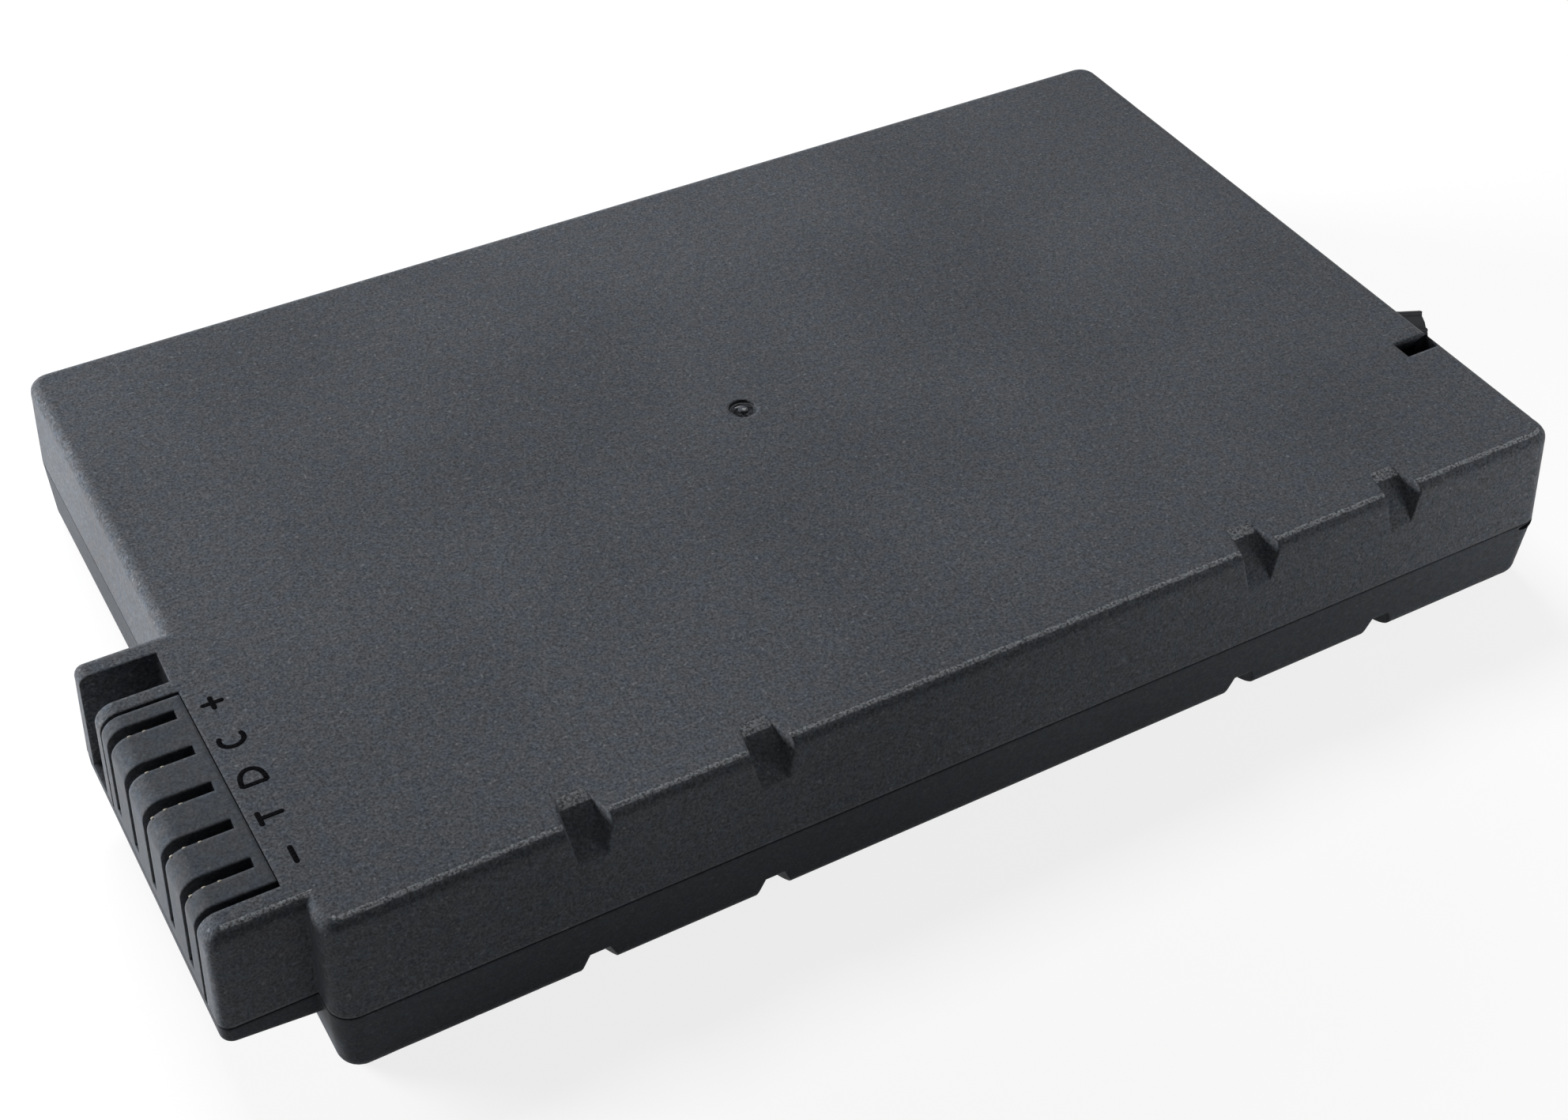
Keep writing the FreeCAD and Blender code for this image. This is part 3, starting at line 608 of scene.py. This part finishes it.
class SubAssembly(ABC):
    """A group of pieces that builds its own meshes and dresses its own nodes."""

    def __init__(self, paints: Paintbox) -> None:
        """Keeps the paintbox.

        Args:
            paints: Where the materials come from.
        """
        self.paints = paints

    @abstractmethod
    def build(self) -> None:
        """Makes the group's new pieces, if it has any."""

    @abstractmethod
    def dress(self) -> None:
        """Gives the group's CAD nodes their finishes."""

    def paint(self, piece: bpy.types.Object, finish: Finished) -> None:
        """Puts a finish on a piece, in place of what it had."""
        piece.data.materials.clear()
        piece.data.materials.append(self.paints.get(finish))

    def paint_nodes(self, finish: Finished, *nodes: str) -> None:
        """Puts a finish on CAD nodes.

        Args:
            finish: The finish.
            nodes: The nodes' names.
        """
        for node in nodes:
            self.paint(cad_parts[node], finish)
            log.info("node %s wears %s", node, finish.value)

    def fit(self, piece: bpy.types.Object, finish: Finished) -> bpy.types.Object:
        """Paints a new piece and lets it ride on the body.

        Args:
            piece: The new piece.
            finish: Its finish.

        Returns:
            The same piece.
        """
        self.paint(piece, finish)
        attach(piece, BODY)
        log.info("piece %s has %d faces", piece.name, len(piece.data.polygons))
        return piece


class Mark(Enum):
    """The signs moulded beside the blade slots, from the far side to the near side."""

    PLUS = "plus"
    CLOCK = "clock"
    DATA = "data"
    THERMISTOR = "thermistor"
    MINUS = "minus"


@dataclass
class MarkSizes:
    """Where the signs lie and how large they are, in metres."""

    x: float = -68.48 * MM
    first_y: float = -13.37 * MM
    pitch: float = -5.18 * MM
    half_height: float = 1.14 * MM
    half_width: float = 0.95 * MM
    half_stroke: float = 0.25 * MM
    rise: float = 0.022 * MM
    clock_start: float = math.radians(50.0)
    clock_sweep: float = math.radians(260.0)
    data_power: float = 0.7
    samples: int = 40
    sides: int = 12


class TerminalMarks(SubAssembly):
    """The dark signs for the five contacts on the top beside the connector block."""

    sizes: MarkSizes = MarkSizes()

    def strokes(self, mark: Mark) -> list[tuple[np.ndarray, bool]]:
        """A sign's centre lines as (right, up) points, with whether each is closed.

        Straight strokes run between two ends. The clock sign is an open oval from 50 to 310
        degrees. The data sign is a straight back closed by half of a squarish oval.

        Args:
            mark: Which sign.

        Returns:
            The strokes, in metres from the sign's middle.
        """
        s = self.sizes
        w, h = s.half_width, s.half_height
        t = np.linspace(0.0, 1.0, s.samples)[:, None]

        def straight(a: tuple[float, float], b: tuple[float, float]) -> tuple[np.ndarray, bool]:
            """A straight stroke between two ends."""
            return np.array([a]) * (1.0 - t) + np.array([b]) * t, False

        if mark is Mark.PLUS:
            return [straight((-w, 0.0), (w, 0.0)), straight((0.0, -h), (0.0, h))]
        if mark is Mark.MINUS:
            return [straight((-h, 0.0), (h, 0.0))]
        if mark is Mark.THERMISTOR:
            return [straight((-w, h), (w, h)), straight((0.0, h), (0.0, -h))]
        if mark is Mark.CLOCK:
            turn = s.clock_start + s.clock_sweep * t[:, 0]
            return [(np.stack([w * np.cos(turn), h * np.sin(turn)], -1), False)]
        turn = np.pi * t[:, 0]
        bulge = np.stack([-w + 2.0 * w * np.sin(turn) ** s.data_power, h * np.cos(turn)], -1)
        back = np.stack([np.full(s.samples, -w), np.linspace(-h, h, s.samples)], -1)
        return [(np.concatenate([bulge[:-1], back[:-1]]), True)]

    def stroke_surface(self, line: np.ndarray, closed: bool, middle: np.ndarray) -> np.ndarray:
        """A flat oval section carried along a stroke's centre line.

        Each ring is an ellipse, half_stroke wide and rise high, across the line's direction. On an
        open stroke the rings shrink to a point over the last half_stroke as a half circle does.

        Args:
            line: The centre line in (right, up).
            closed: Whether the line ends where it starts.
            middle: The sign's middle in the frame.

        Returns:
            The grid of points.
        """
        s = self.sizes
        if closed:
            along = np.roll(line, -1, 0) - np.roll(line, 1, 0)
            narrow = np.ones(len(line))
        else:
            along = np.gradient(line, axis=0)
            run = np.concatenate([[0.0], np.cumsum(np.linalg.norm(np.diff(line, axis=0), axis=1))])
            inset = np.minimum(run, run[-1] - run) / s.half_stroke
            narrow = np.sqrt(1.0 - (1.0 - np.clip(inset, 0.0, 1.0)) ** 2)
        along /= np.linalg.norm(along, axis=1, keepdims=True)
        across = np.stack([-along[:, 1], along[:, 0]], -1)
        turn = np.linspace(0.0, 2.0 * np.pi, s.sides, endpoint=False)
        reach = narrow[:, None] * np.cos(turn) * s.half_stroke
        side = line[:, None] + across[:, None] * reach[..., None]
        lift = narrow[:, None] * np.sin(turn) * s.rise
        return np.stack([middle[0] - side[..., 1], middle[1] + side[..., 0], middle[2] + lift], -1)

    def build(self) -> None:
        """Makes one piece for each sign, on the top cover's face."""
        s = self.sizes
        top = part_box("top_cover")[1].z
        for place, mark in enumerate(Mark):
            middle = np.array([s.x, s.first_y + place * s.pitch, top])
            parts = []
            for line, closed in self.strokes(mark):
                grid = self.stroke_surface(line, closed, middle)
                parts.append(surface_mesh("stroke", grid, loop_u=closed))
            piece = join_pieces("mark_" + mark.value, parts)
            self.fit(piece, Finished.SIGN)

    def dress(self) -> None:
        """Has no CAD nodes of its own."""


@dataclass
class PrySizes:
    """The shaded pry notch on the parting line at the corner near the ribbon, in metres."""

    corner: Span = (67.7 * MM, -42.2 * MM)
    radius: float = 2.22 * MM
    height: float = 7.95 * MM
    half_height: float = 0.46 * MM
    half_depth: float = 0.14 * MM
    start: float = math.radians(6.0)
    run: float = 0.85 * MM
    rows: int = 48
    columns: int = 24


@dataclass
class GateSizes:
    """The torn gate stub on the top, its pale sliver that is a painted glint, and the painted shade on the
    recess floor around them, in metres.
    """

    nub_middle: Span = (-4.38 * MM, 1.12 * MM)
    nub: Triple = (0.40 * MM, 0.36 * MM, 0.14 * MM)
    nub_sink: float = 0.11 * MM
    nub_lumps: float = 0.12
    sliver_middle: Span = (-4.80 * MM, 1.76 * MM)
    sliver: Triple = (0.42 * MM, 0.12 * MM, 0.05 * MM)
    sliver_sink: float = 0.025 * MM
    sliver_lumps: float = 0.08
    recess_shade_middle: Span = (-4.5 * MM, 1.3 * MM)
    recess_shade: Triple = (1.18 * MM, 1.18 * MM, 0.012 * MM)
    recess_shade_sink: float = 0.25 * MM
    recess_shade_lumps: float = 0.06
    recess_shade_columns: int = 48


class Case(SubAssembly):
    """The two moulded covers, with the torn stub of the gate that filled the upper one."""

    pry: PrySizes = PrySizes()
    gate: GateSizes = GateSizes()

    def pry_surface(self) -> np.ndarray:
        """A flat oval section carried around the corner and on along the near side.

        At the angle a around the corner and b around the section, a point is the radius plus the
        half depth times cos b from the corner's axis, and the half height times sin b from its
        level. Past a right angle the axis moves along the side instead. Both half sizes are
        multiplied by the third root of the sine of the way along, so both ends close to a point.

        Returns:
            The grid of points.
        """
        s = self.pry
        way = np.linspace(0.0, 1.0, s.rows)[:, None]
        bend = (np.pi / 2.0 - s.start) * s.radius
        path = way * (bend + s.run)
        a = s.start + np.minimum(path, bend) / s.radius
        x = s.corner[0] - np.maximum(path - bend, 0.0)
        b = np.linspace(0.0, 2.0 * np.pi, s.columns, endpoint=False)[None, :]
        swell = np.cbrt(np.clip(np.sin(np.pi * way), 0.0, 1.0))
        out = s.radius + s.half_depth * swell * np.cos(b)
        level = s.height + s.half_height * swell * np.sin(b)
        return np.stack([x + out * np.cos(a), s.corner[1] - out * np.sin(a), level], -1)

    def build(self) -> None:
        """Makes the pry notch's painted shade, then the stub, its pale sliver, which is a painted glint, and
        the painted shade on the recess floor around them.
        """
        # The pry notch's dark lens, in the signs' black, is painted shade.
        self.fit(surface_mesh("pry_notch_shade", self.pry_surface()), Finished.SIGN)
        s = self.gate
        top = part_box("top_cover")[1].z
        nub = bead_surface((*s.nub_middle, top - s.nub_sink), s.nub, s.nub_lumps)
        # The sliver's pale colour is a painted glint.
        sliver = bead_surface((*s.sliver_middle, top - s.sliver_sink), s.sliver, s.sliver_lumps)
        recess_shade_place = (*s.recess_shade_middle, top - s.recess_shade_sink)
        recess_shade = bead_surface(recess_shade_place, s.recess_shade, s.recess_shade_lumps, columns=s.recess_shade_columns)
        torn = join_pieces("gate_stub", [surface_mesh("nub", nub), surface_mesh("sliver", sliver)])
        self.fit(torn, Finished.GATE)
        # The dark sheet on the recess floor is painted shade.
        self.fit(surface_mesh("gate_recess_painted_shade", recess_shade), Finished.SCAR)

    def dress(self) -> None:
        """Gives the covers the grained plastic, the lower one a finer grain and a darker colour that is
        painted shade on the downward faces.
        """
        self.paint_nodes(Finished.CASE, "top_cover")
        self.paint_nodes(Finished.LOWER_CASE, "bottom_cover")


@dataclass
class DimpleSizes:
    """The contacts' dimples at the near edges of the blade slots, in metres."""

    first_slot_y: float = -13.17 * MM
    pitch: float = -5.02 * MM
    edge: float = 0.66 * MM
    x: tuple[float, ...] = (-75.05 * MM, -76.45 * MM, -77.6 * MM)
    counts: tuple[int, ...] = (2, 2, 3, 3, 3)
    radii: Triple = (0.27 * MM, 0.17 * MM, 0.13 * MM)
    lumps: float = 0.06
    sink: float = 0.10 * MM
    round_start: float = -76.41 * MM
    round_radius: float = 2.0 * MM


class Connector(SubAssembly):
    """The terminal block and its five contacts."""

    sizes: DimpleSizes = DimpleSizes()

    def build(self) -> None:
        """Makes the dimples that show at the slots' near edges, on the block's rounded outline; their pale
        colour is a painted glint.
        """
        s = self.sizes
        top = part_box("terminal_block")[1].z
        for place, count in enumerate(s.counts):
            beads = []
            for x in s.x[:count]:
                past = max(0.0, s.round_start - x)
                fall = s.round_radius - math.sqrt(s.round_radius**2 - past**2)
                middle = (x, s.first_slot_y + place * s.pitch - s.edge, top - s.sink - fall)
                beads.append(surface_mesh("dimple", bead_surface(middle, s.radii, s.lumps)))
            self.fit(join_pieces(f"contact_dimples_{place + 1}", beads), Finished.DIMPLE)

    def dress(self) -> None:
        """Gives the block its plastic and the contacts their plating."""
        self.paint_nodes(Finished.TERMINAL, "terminal_block")
        contacts = [node for node in sorted(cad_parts) if node.startswith("contact_")]
        self.paint_nodes(Finished.CONTACT, *contacts)


@dataclass
class RibbonSizes:
    """The pull ribbon's sizes, in metres and radians."""

    exit_x: float = 70.0 * MM
    exit_y: float = -18.1 * MM
    height: float = 17.0 * MM
    width: float = 5.0 * MM
    thickness: float = 1.0 * MM
    skew: float = math.radians(30.5)
    inside: float = 2.2 * MM
    straight: float = 0.8 * MM
    reach: float = 3.3 * MM
    rise: float = math.radians(5.0)
    edge_power: float = 0.35
    end_share: float = 0.03
    fray: float = 0.16 * MM
    rows: int = 60
    columns: int = 96


class PullRibbon(SubAssembly):
    """The woven ribbon stub at the end of the pack."""

    sizes: RibbonSizes = RibbonSizes()

    def ribbon_surface(self) -> np.ndarray:
        """A flat rounded section carried out through the wall, rising a little.

        The section is a superellipse, width by thickness. Its centre line is level through the
        wall and then climbs by the tangent of the rise. The first and last rows close to a line,
        and the cut end wanders in and out across the width as three sines added.

        Returns:
            The grid of points.
        """
        s = self.sizes
        turn = np.linspace(0.0, 2.0 * np.pi, s.columns, endpoint=False)
        cosine, sine = np.cos(turn), np.sin(turn)
        across = np.sign(cosine) * np.abs(cosine) ** s.edge_power * s.width / 2
        lift = np.sign(sine) * np.abs(sine) ** s.edge_power * s.thickness / 2
        u = np.linspace(0.0, 1.0, s.rows)
        middle_share = 1.0 - 2.0 * s.end_share
        share = np.clip((u - s.end_share) / middle_share, 0.0, 1.0)
        past = np.clip(np.abs(2.0 * u - 1.0) - middle_share, 0.0, 1.0) / (2.0 * s.end_share)
        close = np.sqrt(np.clip(1.0 - past, 0.0, 1.0))
        phase = across / s.width * 2.0 * np.pi
        waves = 0.5 * np.sin(3.1 * phase) + 0.3 * np.sin(7.3 * phase + 1.0) + 0.2 * np.sin(17.0 * phase)
        torn = np.minimum(0.0, s.fray * (waves - 1.0))[None, :] * (u[:, None] > 0.5)
        run = share[:, None] * (s.inside + s.reach + torn) - s.inside
        climb = np.clip(run - s.straight, 0.0, None) * math.tan(s.rise)
        side = np.broadcast_to(across, run.shape)
        x = s.exit_x + run * math.cos(s.skew) + side * math.sin(s.skew)
        y = s.exit_y - run * math.sin(s.skew) + side * math.cos(s.skew)
        z = s.height + climb + lift[None, :] * close[:, None]
        return np.stack([x, y, z], -1)

    def build(self) -> None:
        """Makes the ribbon in place of its plain solid."""
        piece = surface_mesh("pull_ribbon", self.ribbon_surface())
        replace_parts(self.fit(piece, Finished.STRAP), "pull_tab")

    def dress(self) -> None:
        """Has no shown CAD node of its own."""


class CellPack(SubAssembly):
    """The nine cells, the paper on their ends and the strips that join them."""

    def build(self) -> None:
        """Makes no new pieces."""

    def dress(self) -> None:
        """Gives the cells their sleeves and the rest paper or nickel."""
        cells = [node for node in sorted(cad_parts) if node.startswith("cell_") and node[5:].isdigit()]
        self.paint_nodes(Finished.SLEEVE, *cells)
        self.paint_nodes(Finished.PAPER, "insulator_rings", "board_paper")
        strips = [node for node in sorted(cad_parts) if node.endswith("_strip")]
        self.paint_nodes(Finished.NICKEL, *strips)


class ProtectionCircuit(SubAssembly):
    """The board, what is soldered to it and its leads."""

    def build(self) -> None:
        """Makes no new pieces."""

    def dress(self) -> None:
        """Gives each part of the circuit its stuff."""
        self.paint_nodes(Finished.BOARD, "protection_board")
        self.paint_nodes(Finished.CHIP, "power_switches", "gauge_chip", "protector_chip")
        self.paint_nodes(Finished.RESISTOR, "sense_resistor", "board_fuse")
        self.paint_nodes(Finished.CAPACITOR, "board_capacitors")
        self.paint_nodes(Finished.NICKEL, "thermal_cutoff")
        self.paint_nodes(Finished.BEAD, "thermistor")
        self.paint_nodes(Finished.BLACK_LEAD, "negative_lead")
        self.paint_nodes(Finished.WHITE_LEAD, "upper_sense_lead", "lower_sense_lead")


@dataclass(frozen=True)
class Lamp:
    """An area lamp that looks at a point and leaves no hot spot on a gloss."""

    name: str
    place: Triple
    aim: Triple
    width: float
    height: float
    power: float

    def add(self) -> None:
        """Puts the lamp in the scene."""
        data = bpy.data.lights.new(self.name, "AREA")
        data.shape = "RECTANGLE"
        data.size = self.width
        data.size_y = self.height
        data.energy = self.power
        made = bpy.data.objects.new(self.name, data)
        made.visible_glossy = False
        made.location = self.place
        made.rotation_mode = "QUATERNION"
        made.rotation_quaternion = (Vector(self.aim) - Vector(self.place)).to_track_quat("-Z", "Y")
        bpy.context.scene.collection.objects.link(made)


LAMPS: list[Lamp] = [
    Lamp("over_far", (0.03, 0.34, 0.50), (0.0, 0.0, 0.01), 0.3, 0.2, 2.7),
    Lamp("left_key", (-0.5, 0.4, 0.12), (-0.07, 0.02, 0.01), 0.3, 0.16, 10.4),
    Lamp("near_right_corner", (0.13, -0.12, 0.03), (0.065, -0.045, 0.012), 0.05, 0.03, 0.068),
]


@dataclass
class Camera:
    """The photograph's camera, solved from the body's outline: metres and degrees."""

    target: Triple = (-1.422 * MM, -2.889 * MM, 0.0)
    azimuth: float = -30.673
    elevation: float = 42.246
    roll: float = 1.358
    distance: float = 258.675 * MM
    focal: float = 2932.8
    image_width: float = 1984.0
    sensor: float = 36.0
    clip_start: float = 0.01

    def add(self) -> None:
        """Puts the camera in the scene and makes it the scene's own."""
        a, e, r = (math.radians(v) for v in (self.azimuth, self.elevation, self.roll))
        back = Vector((math.sin(a) * math.cos(e), -math.cos(a) * math.cos(e), math.sin(e)))
        level = (-back).cross(Vector((0.0, 0.0, 1.0))).normalized()
        rise = level.cross(-back)
        right = level * math.cos(r) + rise * math.sin(r)
        up = rise * math.cos(r) - level * math.sin(r)
        data = bpy.data.cameras.new("photo_camera")
        data.sensor_width = self.sensor
        data.lens = self.focal / self.image_width * self.sensor
        data.clip_start = self.clip_start
        made = bpy.data.objects.new("photo_camera", data)
        turn = Matrix((right, up, back)).transposed().to_4x4()
        made.matrix_world = Matrix.Translation(Vector(self.target) + back * self.distance) @ turn
        bpy.context.scene.collection.objects.link(made)
        bpy.context.scene.camera = made


@dataclass
class Studio:
    """A pale floor, a white surround and soft lamps, in metres.

    The floor glows white to the camera beyond the outer radius of the pool, and a little less
    inside its inner radius, where it keeps the shadow.
    """

    floor_half: float = 3.0
    floor_steps: int = 5
    floor_drop: float = 0.05 * MM
    floor_colour: Colour = (0.2, 0.2, 0.2)
    bounce_colour: Colour = (0.9, 0.9, 0.9)
    floor_tones: Span = (0.99, 1.01)
    floor_patch: float = 0.4
    floor_roughness: float = 0.9
    floor_glow: float = 0.82
    pool: Span = (0.18, 0.5)
    fill: float = 0.01

    def add_floor(self) -> None:
        """Lays the floor, which looks white to the camera and keeps the shadow."""
        line = np.linspace(-self.floor_half, self.floor_half, self.floor_steps)
        x, y = np.meshgrid(line, line, indexing="ij")
        level = np.full_like(x, -self.floor_drop)
        floor = surface_mesh("floor", np.stack([x, y, level], -1), loop_v=False)
        graph = ShaderGraph("pale_floor")
        patches = graph.noise(self.floor_patch, 1.0)
        colours = []
        for colour in (self.bounce_colour, self.floor_colour):
            tones = [toned(colour, t) for t in self.floor_tones]
            colours.append(graph.ramp(patches, list(zip(NOISE_BAND, tones))))
        graph.drive("Base Color", graph.mix(self.seen(graph.tree, 0.0, 1.0), *colours))
        graph.hold("Roughness", self.floor_roughness)
        graph.hold("Specular IOR Level", 0.0)
        pool = graph.add("TexGradient")
        pool.gradient_type = "SPHERICAL"
        graph.link(graph.coordinates.outputs["Object"], pool.inputs["Vector"])
        inner, outer = (1.0 - radius for radius in self.pool)
        stops = [(outer, WHITE), (inner, toned(WHITE, self.floor_glow))]
        graph.drive("Emission Color", graph.ramp(pool.outputs["Fac"], stops))
        graph.drive("Emission Strength", self.seen(graph.tree, 0.0, 1.0))
        floor.data.materials.append(graph.material)

    def seen(self, tree: bpy.types.NodeTree, plain: float, bright: float) -> Socket:
        """A strength that is bright to camera, glossy and transmission rays and plain to others.

        Args:
            tree: The tree to add the nodes to.
            plain: The strength for other rays.
            bright: The strength for what the camera sees, directly or in a gloss.

        Returns:
            The strength.
        """
        path = tree.nodes.new("ShaderNodeLightPath")
        total = path.outputs["Is Camera Ray"]
        for other in ("Is Glossy Ray", "Is Transmission Ray"):
            add = tree.nodes.new("ShaderNodeMath")
            add.operation = "ADD"
            add.use_clamp = True
            tree.links.new(total, add.inputs[0])
            tree.links.new(path.outputs[other], add.inputs[1])
            total = add.outputs[0]
        span = tree.nodes.new("ShaderNodeMapRange")
        span.inputs["To Min"].default_value = plain
        span.inputs["To Max"].default_value = bright
        tree.links.new(total, span.inputs["Value"])
        return span.outputs["Result"]

    def add_surround(self) -> None:
        """Makes the world white to the camera and a dim fill to everything else."""
        world = bpy.data.worlds.new("white_surround")
        world.use_nodes = True
        background = world.node_tree.nodes["Background"]
        background.inputs["Color"].default_value = (*WHITE, 1.0)
        strength = self.seen(world.node_tree, self.fill, 1.0)
        world.node_tree.links.new(strength, background.inputs["Strength"])
        bpy.context.scene.world = world

    def build(self) -> None:
        """Sets the view, the floor, the surround, the lamps and the camera."""
        bpy.context.scene.view_settings.view_transform = "Standard"
        self.add_floor()
        self.add_surround()
        for lamp in LAMPS:
            lamp.add()
        Camera().add()


def main() -> None:
    """Builds and dresses the battery's groups in order, then the studio."""
    logging.basicConfig(level=logging.INFO, format="%(message)s")
    paints = Paintbox()
    for group in (Case, Connector, TerminalMarks, PullRibbon, CellPack, ProtectionCircuit):
        assembly = group(paints)
        assembly.build()
        assembly.dress()
    Studio().build()


if __name__ == "__main__":
    main()
